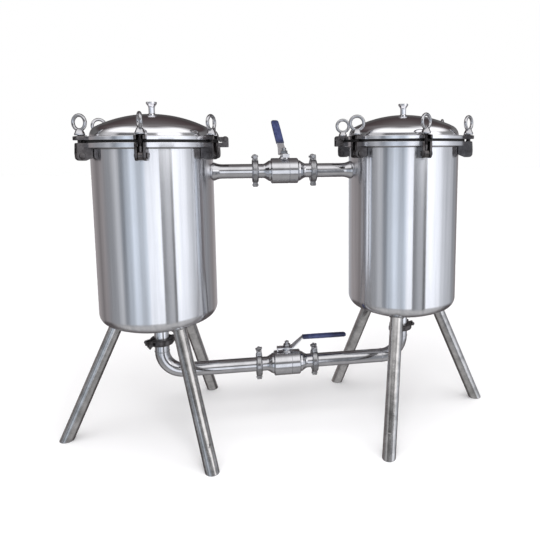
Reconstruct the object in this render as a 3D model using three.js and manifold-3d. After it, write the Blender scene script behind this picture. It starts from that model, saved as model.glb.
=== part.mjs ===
// Duplex cartridge filter housing for sanitary pipework.
//
// Two upright stainless steel vessels stand side by side, each on three splayed tube legs.
// A lid is held down on each vessel by six swing bolts with ring nuts, and a pleated cartridge stands
// inside on an outlet seat. Two cross-over lines join the vessels, high up on the shells and low down
// under the dished bottoms, and each line has a lever ball valve between two tri-clamp joints.
//
// Millimetres, +Z up. The left vessel is at -X, the right one at +X, and the lines run along X.
// The origin is on the floor, at the centre of the bounding box's bottom face.

import * as THREE from "three";
import { mergeVertices } from "three/addons/utils/BufferGeometryUtils.js";
import Module from "manifold-3d";

// ---------------------------------------------------------------- driving dimensions

const GAP = 0.3; // left between pieces that touch

const VESSEL_SPACING = 668; // axis to axis
const SHELL_R = 150;
const SHEET = 2; // thickness of the shell and dome sheet
const SEAM_Z = 783; // height of the lid joint
const TANGENT_Z = 351; // where the dished bottom starts
const CROWN_R = 300; // dished ends: crown radius and knuckle radius
const KNUCKLE_R = 30;

const FLANGE_R = 170;
const BODY_FLANGE_BOTTOM = SEAM_Z - 14.5;
const BODY_FLANGE_TOP = SEAM_Z - 2.8;
const LID_FLANGE_BOTTOM = SEAM_Z + 2.7;
const LID_FLANGE_TOP = SEAM_Z + 12.5;

const BOLT_AZIMUTHS = [-150, -90, -30, 30, 90, 150];
const BOLT_CIRCLE_R = 175;
const BOLT_R = 6; // M12
const PIVOT_Z = SEAM_Z - 33;
const PIVOT_PIN_R = 5;
const SLOT_HALF = 6.5; // half the gap between two bracket plates
const LUG_TOP = SEAM_Z + 14.6;
const LUG_TIP_R = 189;
const NUT_BASE_Z = LUG_TOP + 0.4;

const PIPE_R = 19.05; // 1.5 inch sanitary tube and its ferrule
const PIPE_BORE_R = 17.4;
const FERRULE_R = 25.25;
const FERRULE_RIM = 2.85;
const FERRULE_LENGTH = 7; // rim and bevel together
const JOINT_GAP = 0.4; // half the gap between two ferrules

const UPPER_LINE_Z = 705;
const LOWER_LINE_Z = 167;
const BEND_R = 57; // centreline radius of the 90 degree bends
const NOZZLE_JOINT_Z = 253;
const VALVE_X = 3;
const VALVE_HALF_LENGTH = 78; // valve centre to ferrule joint

const LEG_R = 16.85; // 33.7 mm tube
const LEG_WALL = 2;
const LEG_FOOT_RADIUS = 252; // from the vessel's axis, on the floor
const LEG_TOP_RADIUS = 108; // where the leg's axis meets the dished bottom
const LEG_TOP_Z = 314;

// Each vessel: its side, the azimuths of its legs, the way its fittings face, and the turn of each ring nut.
const VESSELS = [
  {
    side: "left",
    sign: -1,
    legAzimuths: [-177.5, -57.5, 62.5],
    innerAzimuth: 0,
    ringTurns: [-26, -70, 63, 92, 0, 30],
  },
  {
    side: "right",
    sign: 1,
    legAzimuths: [-114, 6, 126],
    innerAzimuth: 180,
    ringTurns: [-13, 36, 37, 60, 15, -12],
  },
];

// Facets round each kind of piece.
const SHELL_SIDES = 24;
const INNER_SIDES = 14;
const PIPE_SIDES = 12;
const ROD_SIDES = 8;

// ---------------------------------------------------------------- materials

const steel = (color, roughness) => new THREE.MeshStandardMaterial({ color, roughness, metalness: 1 });

const polishedSteel = () => steel(0xc9cdd3, 0.12);
const satinSteel = () => steel(0xa3a4a8, 0.32);
const castSteel = () => steel(0x8f8f93, 0.38);
const seal = () => new THREE.MeshStandardMaterial({ color: 0xd9d6cf, roughness: 0.6, metalness: 0 });
const filterMedia = () => new THREE.MeshStandardMaterial({ color: 0xe9e7df, roughness: 0.85, metalness: 0 });
const blueVinyl = () => new THREE.MeshStandardMaterial({ color: 0x2a3570, roughness: 0.45, metalness: 0 });

// ---------------------------------------------------------------- solids

const wasm = await Module();
wasm.setup();

const radians = THREE.MathUtils.degToRad;
const point = (x, y) => new THREE.Vector2(x, y);

// A three.js geometry as a manifold-3d solid, without the flat triangles that a lathe leaves on its axis.
function solid(geometry) {
  const bare = new THREE.BufferGeometry();
  bare.setAttribute("position", geometry.getAttribute("position"));
  bare.setIndex(geometry.getIndex());
  const merged = mergeVertices(bare, 1e-4);
  const corners = merged.index.array;
  const triangles = [];
  for (let i = 0; i < corners.length; i += 3) {
    const [a, b, c] = [corners[i], corners[i + 1], corners[i + 2]];
    if (a !== b && b !== c && c !== a) triangles.push(a, b, c);
  }
  const vertProperties = Float32Array.from(merged.attributes.position.array);
  const triVerts = Uint32Array.from(triangles);
  return new wasm.Manifold(new wasm.Mesh({ numProp: 3, vertProperties, triVerts }));
}

const join = (...solids) => solids.reduce((sum, next) => sum.add(next));

function toMesh(name, shape, material) {
  const { vertProperties, triVerts } = shape.getMesh();
  const geometry = new THREE.BufferGeometry();
  geometry.setAttribute("position", new THREE.BufferAttribute(vertProperties, 3));
  geometry.setIndex(new THREE.BufferAttribute(triVerts, 1));
  geometry.computeVertexNormals();
  const mesh = new THREE.Mesh(geometry, material);
  mesh.name = name;
  return mesh;
}

// A body turned about Z from an outline of (radius, height) points, listed counterclockwise.
function turned(outline, sides) {
  const geometry = new THREE.LatheGeometry([...outline, outline[0]], sides);
  return geometry.rotateX(Math.PI / 2);
}

// The same, turned about X: heights run along +X.
const turnedAlongX = (outline, sides) => turned(outline, sides).rotateY(Math.PI / 2);

// A round bar about Z, from height low to height high.
function bar(radius, low, high, sides = ROD_SIDES, topRadius = radius) {
  const geometry = new THREE.CylinderGeometry(topRadius, radius, high - low, sides);
  return geometry.rotateX(Math.PI / 2).translate(0, 0, (low + high) / 2);
}

// A round bar along Y or X, centred on the origin.
const barAlongY = (radius, length, sides = ROD_SIDES) => new THREE.CylinderGeometry(radius, radius, length, sides);
const barAlongX = (radius, length, sides = ROD_SIDES) => barAlongY(radius, length, sides).rotateZ(Math.PI / 2);

function block(x, y, z) {
  const geometry = new THREE.BoxGeometry(x[1] - x[0], y[1] - y[0], z[1] - z[0]);
  return geometry.translate((x[0] + x[1]) / 2, (y[0] + y[1]) / 2, (z[0] + z[1]) / 2);
}

// A plate cut to an outline of (x, z) points, between two values of y.
function plate(outline, y) {
  const geometry = new THREE.ExtrudeGeometry(new THREE.Shape(outline), { depth: y[1] - y[0], bevelEnabled: false });
  return geometry.rotateX(Math.PI / 2).translate(0, y[1], 0);
}

// Points on an arc, from one angle to another in degrees, both ends included.
function arc(centreX, centreY, radius, from, to, steps) {
  return Array.from({ length: steps + 1 }, (_, i) => {
    const angle = radians(from + ((to - from) * i) / steps);
    return point(centreX + radius * Math.cos(angle), centreY + radius * Math.sin(angle));
  });
}

// ---------------------------------------------------------------- dished ends

const CROWN_DROP = Math.sqrt((CROWN_R - KNUCKLE_R) ** 2 - (SHELL_R - KNUCKLE_R) ** 2);
const KNUCKLE_END = THREE.MathUtils.radToDeg(Math.atan2(CROWN_DROP, SHELL_R - KNUCKLE_R));

// Height of the crown above the dish's tangent line, at a radius from the axis.
const crownHeight = (radius, inset) => Math.sqrt((CROWN_R - inset) ** 2 - radius ** 2) - CROWN_DROP;

// A dished end's outline from its tangent line up to a hole on its axis, inset from the outer surface.
function dish(tangentZ, holeRadius, inset, up) {
  const knuckle = arc(SHELL_R - KNUCKLE_R, 0, KNUCKLE_R - inset, 0, KNUCKLE_END, 2);
  const crown = [100, 60, holeRadius].map((radius) => point(radius, crownHeight(radius, inset)));
  return [...knuckle, ...crown].map((p) => point(p.x, tangentZ + up * p.y));
}

// The space that a vessel's outside fills below its flange, grown by a gap, for cutting what is welded to it.
function vesselSpace(gap) {
  const bottom = dish(TANGENT_Z, 0, -gap, -1);
  return solid(turned([...bottom.reverse(), point(SHELL_R + gap, SEAM_Z), point(0, SEAM_Z)], SHELL_SIDES));
}

// ---------------------------------------------------------------- vessel pieces

// Half a tri-clamp ferrule's outline, from the pipe's surface out to the joint face, along dir.
const ferrule = (face, dir) => [
  point(PIPE_R, face - dir * FERRULE_LENGTH),
  point(PIPE_R + 1.5, face - dir * (FERRULE_RIM + 2.2)),
  point(FERRULE_R, face - dir * FERRULE_RIM),
  point(FERRULE_R, face),
];

function shellShape(innerAzimuth) {
  const outline = [
    point(SHELL_R, BODY_FLANGE_TOP),
    point(SHELL_R - SHEET, BODY_FLANGE_TOP),
    ...dish(TANGENT_Z, PIPE_BORE_R, SHEET, -1),
    point(PIPE_BORE_R, NOZZLE_JOINT_Z + JOINT_GAP),
    ...ferrule(NOZZLE_JOINT_Z + JOINT_GAP, -1).reverse(),
    ...dish(TANGENT_Z, PIPE_R, 0, -1).reverse(),
  ];
  const inlet = barAlongX(PIPE_BORE_R, 20, PIPE_SIDES).translate(SHELL_R, 0, UPPER_LINE_Z);
  return solid(turned(outline, SHELL_SIDES)).subtract(solid(inlet.rotateZ(radians(innerAzimuth))));
}

const HINGE_PIN = { radius: 4, r: 183, z: SEAM_Z + 6 };

// The slip-on flange with a bracket and pivot pin for each swing bolt, and the fixed half of the hinge.
function bodyFlangeShape(innerAzimuth) {
  const inner = SHELL_R + GAP + 0.1;
  const ring = [
    point(inner, BODY_FLANGE_BOTTOM),
    point(FLANGE_R, BODY_FLANGE_BOTTOM),
    point(FLANGE_R, BODY_FLANGE_TOP),
    point(inner, BODY_FLANGE_TOP),
  ];
  const ear = [
    point(inner + 0.2, BODY_FLANGE_BOTTOM + 2),
    point(inner + 0.2, PIVOT_Z - 5),
    ...arc(BOLT_CIRCLE_R, PIVOT_Z, 11.5, -110, 0, 2),
    point(LUG_TIP_R - 4, BODY_FLANGE_TOP),
    point(FLANGE_R - 2, BODY_FLANGE_TOP),
    point(FLANGE_R - 2, BODY_FLANGE_BOTTOM + 2),
  ];
  const notchZ = [BODY_FLANGE_BOTTOM - 1, BODY_FLANGE_TOP + 1];
  const notch = block([FLANGE_R - 1.6, FLANGE_R + 5], [-SLOT_HALF - 1, SLOT_HALF + 1], notchZ);
  let flange = solid(turned(ring, SHELL_SIDES));
  for (const azimuth of BOLT_AZIMUTHS) flange = flange.subtract(solid(notch.clone().rotateZ(radians(azimuth))));
  const parts = [flange];
  for (const azimuth of BOLT_AZIMUTHS) {
    const pin = barAlongY(PIVOT_PIN_R, 32).translate(BOLT_CIRCLE_R, 1.5, PIVOT_Z);
    const plates = [-SLOT_HALF - 6, SLOT_HALF].map((y) => plate(ear, [y, y + 6]));
    for (const piece of [pin, ...plates]) parts.push(solid(piece.rotateZ(radians(azimuth))));
  }
  const hingeEar = [
    point(FLANGE_R - 4, BODY_FLANGE_BOTTOM),
    point(HINGE_PIN.r + 8, BODY_FLANGE_BOTTOM),
    ...arc(HINGE_PIN.r, HINGE_PIN.z, 8, 0, 180, 4),
    point(HINGE_PIN.r - 8, BODY_FLANGE_TOP),
    point(FLANGE_R - 4, BODY_FLANGE_TOP),
  ];
  const hingePin = barAlongY(HINGE_PIN.radius, 34).translate(HINGE_PIN.r, 0, HINGE_PIN.z);
  const hingeEars = [[-15, -8.5], [8.5, 15]].map((y) => plate(hingeEar, y));
  for (const piece of [hingePin, ...hingeEars]) parts.push(solid(piece.rotateZ(radians(innerAzimuth))));
  return join(...parts);
}

// The domed lid with its flange, the vent ferrule on top, six forked lugs and the moving half of the hinge.
function lidShape(innerAzimuth) {
  const vent = { bore: 5.8, neck: 7.8, rim: 13.4, flareZ: SEAM_Z + 85, rimZ: SEAM_Z + 96, topZ: SEAM_Z + 101 };
  const outline = [
    point(SHELL_R - SHEET, LID_FLANGE_BOTTOM),
    point(FLANGE_R, LID_FLANGE_BOTTOM),
    point(FLANGE_R, LID_FLANGE_TOP),
    ...dish(LID_FLANGE_TOP, vent.neck, 0, 1),
    point(vent.neck, vent.flareZ),
    point(vent.rim, vent.rimZ),
    point(vent.rim, vent.topZ),
    point(vent.bore, vent.topZ),
    ...dish(LID_FLANGE_TOP, vent.bore, SHEET, 1).reverse(),
  ];
  const lug = [
    point(FLANGE_R - 8, LID_FLANGE_BOTTOM),
    point(LUG_TIP_R, LID_FLANGE_BOTTOM),
    point(LUG_TIP_R, LUG_TOP - 2.4),
    point(BOLT_CIRCLE_R + 1, LUG_TOP),
    point(FLANGE_R - 8, LUG_TOP),
  ];
  const slotX = [BOLT_CIRCLE_R - BOLT_R - 0.8, LUG_TIP_R + 1];
  const slot = block(slotX, [-SLOT_HALF - 0.3, SLOT_HALF + 0.3], [SEAM_Z, LUG_TOP + 1]);
  let shape = solid(turned(outline, SHELL_SIDES));
  for (const azimuth of BOLT_AZIMUTHS) shape = shape.add(solid(plate(lug, [-13, 13]).rotateZ(radians(azimuth))));
  for (const azimuth of BOLT_AZIMUTHS) shape = shape.subtract(solid(slot.clone().rotateZ(radians(azimuth))));
  const leaf = [
    point(FLANGE_R - 4, LID_FLANGE_BOTTOM),
    ...arc(HINGE_PIN.r, HINGE_PIN.z, 7.5, -60, 120, 5),
    point(FLANGE_R - 4, HINGE_PIN.z + 6.5),
  ];
  const pinHole = barAlongY(HINGE_PIN.radius + 0.5, 20).translate(HINGE_PIN.r, 0, HINGE_PIN.z);
  const turn = radians(innerAzimuth);
  return shape.add(solid(plate(leaf, [-8, 8]).rotateZ(turn))).subtract(solid(pinHole.rotateZ(turn)));
}

function gasketShape() {
  const outline = [
    point(152, BODY_FLANGE_TOP + GAP),
    point(168, BODY_FLANGE_TOP + GAP),
    point(168, LID_FLANGE_BOTTOM - GAP),
    point(152, LID_FLANGE_BOTTOM - GAP),
  ];
  return solid(turned(outline, SHELL_SIDES));
}

const SEAT = { plateR: 58, spigotR: 26, boreR: 18, topZ: 345, clearance: 1.4 };
const insideCrownZ = (radius) => TANGENT_Z - crownHeight(radius, SHEET);
const CARTRIDGE_CAP_R = 89;
const SEAT_PLATE_TOP = insideCrownZ(CARTRIDGE_CAP_R) + 3; // lifts the cartridge clear of the dish

// The seat rests on the dished bottom round the outlet, and its spigot holds the cartridge's bore.
function outletSeatShape() {
  const outline = [
    point(SEAT.boreR, insideCrownZ(SEAT.boreR) + SEAT.clearance),
    point(SEAT.plateR, insideCrownZ(SEAT.plateR) + SEAT.clearance),
    point(SEAT.plateR, SEAT_PLATE_TOP),
    point(SEAT.spigotR, SEAT_PLATE_TOP),
    point(SEAT.spigotR, SEAT.topZ),
    point(SEAT.boreR, SEAT.topZ),
  ];
  return solid(turned(outline, INNER_SIDES));
}

// The pleated cartridge between its two end caps, with an open core.
function cartridgeShape() {
  const [coreR, pleatR, capR, capHeight] = [27.5, 84, CARTRIDGE_CAP_R, 12];
  const [low, high] = [SEAT_PLATE_TOP + GAP, 690];
  const outline = [
    point(coreR, low),
    point(capR, low),
    point(capR, low + capHeight),
    point(pleatR, low + capHeight),
    point(pleatR, high - capHeight),
    point(capR, high - capHeight),
    point(capR, high),
    point(coreR, high),
  ];
  return solid(turned(outline, INNER_SIDES));
}

// A tube leg in the XZ plane: closed by a foot plate on the floor, open at the dished bottom it is welded to.
function legShape() {
  const lean = Math.atan2(LEG_FOOT_RADIUS - LEG_TOP_RADIUS, LEG_TOP_Z);
  const length = Math.hypot(LEG_FOOT_RADIUS - LEG_TOP_RADIUS, LEG_TOP_Z);
  const along = (radius) => bar(radius, -20, length + 30).rotateY(-lean).translate(LEG_FOOT_RADIUS, 0, 0);
  const floor = solid(block([-400, 400], [-100, 100], [-100, 0]));
  const footPlate = solid(block([-400, 400], [-100, 100], [-100, 3]));
  const drainHole = bar(4.5, LEG_R - 6, LEG_R + 6).rotateY(Math.PI / 2 - lean);
  drainHole.translate(LEG_FOOT_RADIUS - 55 * Math.tan(lean), 0, 55);
  const hollow = solid(along(LEG_R - LEG_WALL)).subtract(footPlate);
  const tube = solid(along(LEG_R)).subtract(floor).subtract(hollow);
  return tube.subtract(vesselSpace(0.4)).subtract(solid(drainHole));
}

// ---------------------------------------------------------------- swing bolts and ring nuts

// The bolt stands on its pivot at the origin, with the pivot's axis along Y.
function swingBoltShape() {
  const eye = solid(barAlongY(10.5, 12));
  const shank = solid(bar(BOLT_R, 5, NUT_BASE_Z - PIVOT_Z + 10));
  return eye.add(shank).subtract(solid(barAlongY(PIVOT_PIN_R + 0.8, 20)));
}

// The ring nut stands on its base at the origin: a conical hub with a blind bore, and a finger ring in the XZ plane.
function ringNutShape() {
  const ring = { radius: 17.1, wire: 4.15, centreZ: 29.5 };
  const hub = solid(bar(12, 0, 14, ROD_SIDES, 8.5));
  const loop = new THREE.TorusGeometry(ring.radius, ring.wire, 6, 12);
  loop.rotateX(Math.PI / 2).translate(0, 0, ring.centreZ);
  return hub.add(solid(loop)).subtract(solid(bar(BOLT_R + 0.9, -1, 12)));
}

// ---------------------------------------------------------------- pipework

// A tri-clamp about Z, centred on the joint: a grooved ring, a hinge lug at -X and a wing nut on a neck at +X.
function clampShape() {
  const [outerR, lipR, grooveR, halfWidth] = [32, 20.5, 26.6, 8.5];
  const ring = [
    point(lipR, -halfWidth),
    point(outerR, -halfWidth),
    point(outerR, halfWidth),
    point(lipR, halfWidth),
    point(lipR, 6.6),
    point(grooveR, 3.6),
    point(grooveR, -3.6),
    point(lipR, -6.6),
  ];
  const hingeLug = block([-42, -29], [-7, 7], [-6.5, 6.5]);
  const neck = barAlongX(4, 16, 8).translate(36, 0, 0);
  const wingNut = block([38, 45], [-9, 9], [-7, 7]);
  return join(solid(turned(ring, PIPE_SIDES)), solid(hingeLug), solid(neck), solid(wingNut));
}

// A straight tube along +X from one end to a ferrule's joint face, with a weld collar at the start.
function linePipeShape(start, face) {
  const collarR = 24.5;
  const outline = [
    point(PIPE_BORE_R, start),
    point(collarR, start),
    point(collarR, start + 9),
    point(PIPE_R, start + 20),
    ...ferrule(face, 1),
    point(PIPE_BORE_R, face),
  ];
  return solid(turnedAlongX(outline, PIPE_SIDES));
}

// The centreline of a bend, from straight down to straight along +X.
class BendCurve extends THREE.Curve {
  getPoint(t, target = new THREE.Vector3()) {
    const angle = Math.PI * (1 + t / 2);
    return target.set(BEND_R + BEND_R * Math.cos(angle), 0, BEND_R + BEND_R * Math.sin(angle));
  }
}

// The lower line's pipe: down from the nozzle joint, round the bend, and along +X to the valve's joint.
// Its frame has the vessel's axis at x = 0 and the line at z = 0.
function bentPipeShape(face) {
  const overlap = 2; // how far each straight tube reaches into the bend's thicker wall
  const section = new THREE.Shape(arc(0, 0, PIPE_R + 0.6, 0, 360, PIPE_SIDES).slice(0, -1));
  section.holes.push(new THREE.Path(arc(0, 0, PIPE_BORE_R - 0.5, 0, 360, PIPE_SIDES).slice(0, -1)));
  const bend = new THREE.ExtrudeGeometry(section, { steps: 6, extrudePath: new BendCurve() });
  const top = NOZZLE_JOINT_Z - JOINT_GAP - LOWER_LINE_Z;
  const down = [
    point(PIPE_BORE_R, BEND_R - overlap),
    point(PIPE_R, BEND_R - overlap),
    ...ferrule(top, 1),
    point(PIPE_BORE_R, top),
  ];
  const along = [
    point(PIPE_BORE_R, BEND_R - overlap),
    point(PIPE_R, BEND_R - overlap),
    ...ferrule(face, 1),
    point(PIPE_BORE_R, face),
  ];
  return join(solid(bend), solid(turned(down, PIPE_SIDES)), solid(turnedAlongX(along, PIPE_SIDES)));
}

// ---------------------------------------------------------------- ball valve
// Each piece is centred on the valve, with the pipe along X and the stem along +Z.

const VALVE = { barrelR: 34, barrelHalf: 35, ballR: 25.5, cavityR: 27.5, stemR: 6, glandR: 11, glandTop: 41 };
const LEVER = { z: 42, thickness: 3, halfWidth: 10, heel: -28, riseStart: 14, riseEnd: 44 };
const GRIP = { halfWidth: 12, halfThickness: 5.2 };

// Beyond the end of its rise, the lower lever is level, and the upper one keeps rising to pass over the
// lids. Reach and sleeve start are measured from that knee.
const HANDLES = {
  upper: { kneeZ: 65.4, tilt: 38, reach: 123, sleeveStart: 12 },
  lower: { kneeZ: 69, tilt: 0, reach: 129, sleeveStart: 1 },
};
const GRIP_TIP = 4; // how far the steel sticks out of its sleeve

function ball(radius) {
  return solid(new THREE.SphereGeometry(radius, PIPE_SIDES, 8).rotateX(Math.PI / 2));
}

function valveBodyShape() {
  const face = VALVE_HALF_LENGTH - JOINT_GAP;
  const half = [
    ...ferrule(face, 1).reverse(),
    point(PIPE_R, 54),
    point(27, 41),
    point(VALVE.barrelR, VALVE.barrelHalf),
  ];
  const otherHalf = half.map((p) => point(p.x, -p.y)).reverse();
  const outline = [...otherHalf, ...half.reverse()].sort((a, b) => a.y - b.y);
  const barrel = [point(0, -face), ...outline, point(0, face)];
  const gland = solid(bar(VALVE.glandR, 20, VALVE.glandTop));
  const bore = solid(barAlongX(PIPE_BORE_R, 200, PIPE_SIDES));
  const stemBore = solid(bar(VALVE.stemR + 1.2, 10, 60));
  const body = solid(turnedAlongX(barrel, PIPE_SIDES)).add(gland);
  return body.subtract(bore).subtract(ball(VALVE.cavityR)).subtract(stemBore);
}

// The ball with its bore along X, its stem, and the nut that holds the lever.
function ballStemShape() {
  const stem = solid(bar(VALVE.stemR, 18, 62));
  const nut = solid(bar(9.5, LEVER.z + LEVER.thickness + GAP, LEVER.z + 12, 6));
  return ball(VALVE.ballR).subtract(solid(barAlongX(16.5, 80))).add(stem).add(nut);
}

// The steel lever points along +X: flat on the stem with a heel behind it, rising, then out to its grip.
function leverShape({ kneeZ, tilt, reach }) {
  const { z, thickness, heel, riseStart, riseEnd, halfWidth } = LEVER;
  const rise = Math.atan2(kneeZ - z, riseEnd - riseStart);
  const out = radians(tilt);
  const start = point(riseStart, z);
  const knee = point(riseEnd, kneeZ);
  const end = point(riseEnd + reach * Math.cos(out), kneeZ + reach * Math.sin(out));
  // The strip's upper side over a point of its lower side, between two directions.
  const above = (p, before, after) => {
    const middle = (before + after) / 2;
    const length = thickness / Math.cos((after - before) / 2);
    return point(p.x - length * Math.sin(middle), p.y + length * Math.cos(middle));
  };
  const outline = [
    point(heel, z),
    start,
    knee,
    end,
    above(end, out, out),
    above(knee, rise, out),
    above(start, 0, rise),
    point(heel, z + thickness),
  ];
  const strip = solid(plate(outline, [-halfWidth, halfWidth]));
  return strip.subtract(solid(bar(VALVE.stemR + 0.6, z - 5, z + 10)));
}

// The vinyl sleeve on the lever: a rounded bar with a slot right through for the steel strip.
function gripShape({ kneeZ, tilt, reach, sleeveStart }) {
  const { halfWidth, halfThickness } = GRIP;
  const end = reach - GRIP_TIP;
  const round = halfThickness - 0.6;
  const corners = [
    [halfWidth - round, halfThickness - round, 0],
    [round - halfWidth, halfThickness - round, 90],
    [round - halfWidth, round - halfThickness, 180],
    [halfWidth - round, round - halfThickness, 270],
  ];
  const outline = corners.flatMap(([x, y, from]) => arc(x, y, round, from, from + 90, 3));
  const section = new THREE.Shape(outline);
  const sleeve = new THREE.ExtrudeGeometry(section, { depth: end - sleeveStart, bevelEnabled: false });
  sleeve.rotateZ(Math.PI / 2).rotateY(Math.PI / 2).translate(sleeveStart, 0, 0);
  const slotY = LEVER.halfWidth + GAP + 0.1;
  const slotZ = LEVER.thickness / 2 + GAP + 0.1;
  const slot = block([sleeveStart - 5, end + 5], [-slotY, slotY], [-slotZ, slotZ]);
  // From along +X to along the lever, from the middle of its thickness at the knee.
  const out = radians(tilt);
  const half = LEVER.thickness / 2;
  for (const geometry of [sleeve, slot]) {
    geometry.rotateY(-out);
    geometry.translate(LEVER.riseEnd - half * Math.sin(out), 0, kneeZ + half * Math.cos(out));
  }
  return solid(sleeve).subtract(solid(slot));
}

// ---------------------------------------------------------------- assembly

const model = new THREE.Group();

// Adds a mesh to a parent and returns it, so that its place can be set.
function add(parent, name, shape, material) {
  const mesh = toMesh(name, shape, material);
  parent.add(mesh);
  return mesh;
}

// A group turned about Z inside its parent.
function turnedGroup(parent, azimuth) {
  const group = new THREE.Group();
  group.rotation.z = radians(azimuth);
  parent.add(group);
  return group;
}

function addVessel({ side, sign, legAzimuths, innerAzimuth, ringTurns }) {
  const vessel = new THREE.Group();
  vessel.position.x = (sign * VESSEL_SPACING) / 2;
  model.add(vessel);
  add(vessel, `${side}_shell`, shellShape(innerAzimuth), polishedSteel());
  add(vessel, `${side}_body_flange`, bodyFlangeShape(innerAzimuth), castSteel());
  add(vessel, `${side}_lid`, lidShape(innerAzimuth), polishedSteel());
  add(vessel, `${side}_lid_gasket`, gasketShape(), seal());
  add(vessel, `${side}_outlet_seat`, outletSeatShape(), satinSteel());
  add(vessel, `${side}_cartridge`, cartridgeShape(), filterMedia());
  legAzimuths.forEach((azimuth, i) => {
    add(turnedGroup(vessel, azimuth), `${side}_leg_${i + 1}`, legShape(), satinSteel());
  });
  BOLT_AZIMUTHS.forEach((azimuth, i) => {
    const station = turnedGroup(vessel, azimuth);
    const bolt = add(station, `${side}_swing_bolt_${i + 1}`, swingBoltShape(), castSteel());
    bolt.position.set(BOLT_CIRCLE_R, 0, PIVOT_Z);
    const nut = add(station, `${side}_ring_nut_${i + 1}`, ringNutShape(), polishedSteel());
    nut.position.set(BOLT_CIRCLE_R, 0, NUT_BASE_Z);
    nut.rotation.z = radians(ringTurns[i] - azimuth);
  });
  const nozzleClamp = add(vessel, `${side}_nozzle_clamp`, clampShape(), castSteel());
  nozzleClamp.position.z = NOZZLE_JOINT_Z;
  nozzleClamp.rotation.z = radians(sign > 0 ? 30 : 210);
}

// A valve group. The lever's turn is about the stem, from the way +X.
function addValve(name, z, leverTurn) {
  const valve = new THREE.Group();
  valve.position.set(VALVE_X, 0, z);
  model.add(valve);
  add(valve, `${name}_valve_body`, valveBodyShape(), castSteel());
  const handle = turnedGroup(valve, leverTurn);
  add(handle, `${name}_valve_ball`, ballStemShape(), polishedSteel());
  add(handle, `${name}_valve_lever`, leverShape(HANDLES[name]), satinSteel());
  add(handle, `${name}_valve_grip`, gripShape(HANDLES[name]), blueVinyl());
}

// The pipe of one side, mirrored onto the right by a half turn, and the clamp at its valve joint.
function addLineSide(name, { side, sign }, z, shapeOf) {
  const face = VESSEL_SPACING / 2 + sign * -VALVE_X - VALVE_HALF_LENGTH;
  const run = new THREE.Group();
  run.position.set((sign * VESSEL_SPACING) / 2, 0, z);
  run.rotation.z = sign > 0 ? Math.PI : 0;
  model.add(run);
  add(run, `${name}_pipe_${side}`, shapeOf(face - JOINT_GAP), satinSteel());
  const clamp = add(model, `${name}_clamp_${side}`, clampShape(), castSteel());
  clamp.position.set(VALVE_X + sign * VALVE_HALF_LENGTH, 0, z);
  clamp.rotation.set(0, -Math.PI / 2, 0);
}

// The upper line's pipe starts inside the shell's surface and is cut back to it.
function upperPipeShape(face) {
  const shell = vesselSpace(0.4).translate([0, 0, -UPPER_LINE_Z]);
  return linePipeShape(SHELL_R - 6, face).subtract(shell);
}

VESSELS.forEach(addVessel);
for (const vessel of VESSELS) {
  addLineSide("upper", vessel, UPPER_LINE_Z, upperPipeShape);
  addLineSide("lower", vessel, LOWER_LINE_Z, bentPipeShape);
}
addValve("upper", UPPER_LINE_Z, 96);
addValve("lower", LOWER_LINE_Z, 0);

const bounds = new THREE.Box3().setFromObject(model, true);
const centre = bounds.getCenter(new THREE.Vector3());
model.position.set(-centre.x, -centre.y, -bounds.min.z);

export default model;
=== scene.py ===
"""Looks for the duplex cartridge filter housing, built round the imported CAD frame.

Every piece is made by mesh code in millimetres, in the frame of its own sub-assembly, and placed from the
boxes of the CAD nodes. Lengths are in millimetres and angles in degrees, apart from the floor, the card and
the lights, which are in metres.
"""

from math import atan2, cos, hypot, pi, radians, sin, sqrt, tan

import bmesh
import bpy
from mathutils import Matrix, Vector


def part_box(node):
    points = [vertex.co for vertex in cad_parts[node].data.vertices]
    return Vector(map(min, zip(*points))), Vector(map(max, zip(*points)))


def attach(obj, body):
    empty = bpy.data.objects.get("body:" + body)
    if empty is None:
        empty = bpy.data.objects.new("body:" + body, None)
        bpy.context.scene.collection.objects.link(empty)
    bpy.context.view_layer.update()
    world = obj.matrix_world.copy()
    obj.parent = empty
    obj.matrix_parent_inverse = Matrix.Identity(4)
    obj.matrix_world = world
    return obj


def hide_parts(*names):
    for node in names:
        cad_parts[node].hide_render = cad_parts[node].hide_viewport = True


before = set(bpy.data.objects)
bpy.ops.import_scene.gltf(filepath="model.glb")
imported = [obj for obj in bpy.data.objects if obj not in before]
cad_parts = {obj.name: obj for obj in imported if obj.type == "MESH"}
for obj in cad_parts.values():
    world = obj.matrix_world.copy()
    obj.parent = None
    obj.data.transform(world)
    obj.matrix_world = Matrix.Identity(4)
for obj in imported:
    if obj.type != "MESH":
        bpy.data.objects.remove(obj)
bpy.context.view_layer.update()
MM = 0.001


# ---------------- sizes, from the frame where it has them


def box_mm(node):
    """The lowest and highest corners of a CAD node, in millimetres."""
    low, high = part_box(node)
    return low / MM, high / MM


def centre_mm(node):
    low, high = box_mm(node)
    return (low + high) / 2


SHELL_LOW, SHELL_HIGH = box_mm("left_shell")
SHELL_R = (SHELL_HIGH.x - SHELL_LOW.x) / 2
BODY_FLANGE_TOP = SHELL_HIGH.z
NOZZLE_FACE_Z = SHELL_LOW.z
AXIS_Y = (SHELL_LOW.y + SHELL_HIGH.y) / 2
AXIS_X = {side: centre_mm(f"{side}_shell").x for side in ("left", "right")}
HINGE_LEAF_BOTTOM = box_mm("left_lid")[0].z
LID_TOP_Z = box_mm("left_lid")[1].z
SEAM_Z = centre_mm("left_lid_gasket").z
UPPER_LINE_Z = centre_mm("upper_pipe_left").z
# How far the middle of the lower lever's box is above its line.
LEVER_MIDDLE = 57
LOWER_LINE_Z = centre_mm("lower_valve_lever").z - LEVER_MIDDLE
LINES = {"upper": UPPER_LINE_Z, "lower": LOWER_LINE_Z}
VALVE_X = centre_mm("upper_valve_body").x
CLAMP_X = {side: centre_mm(f"upper_clamp_{side}").x for side in ("left", "right")}

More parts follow.
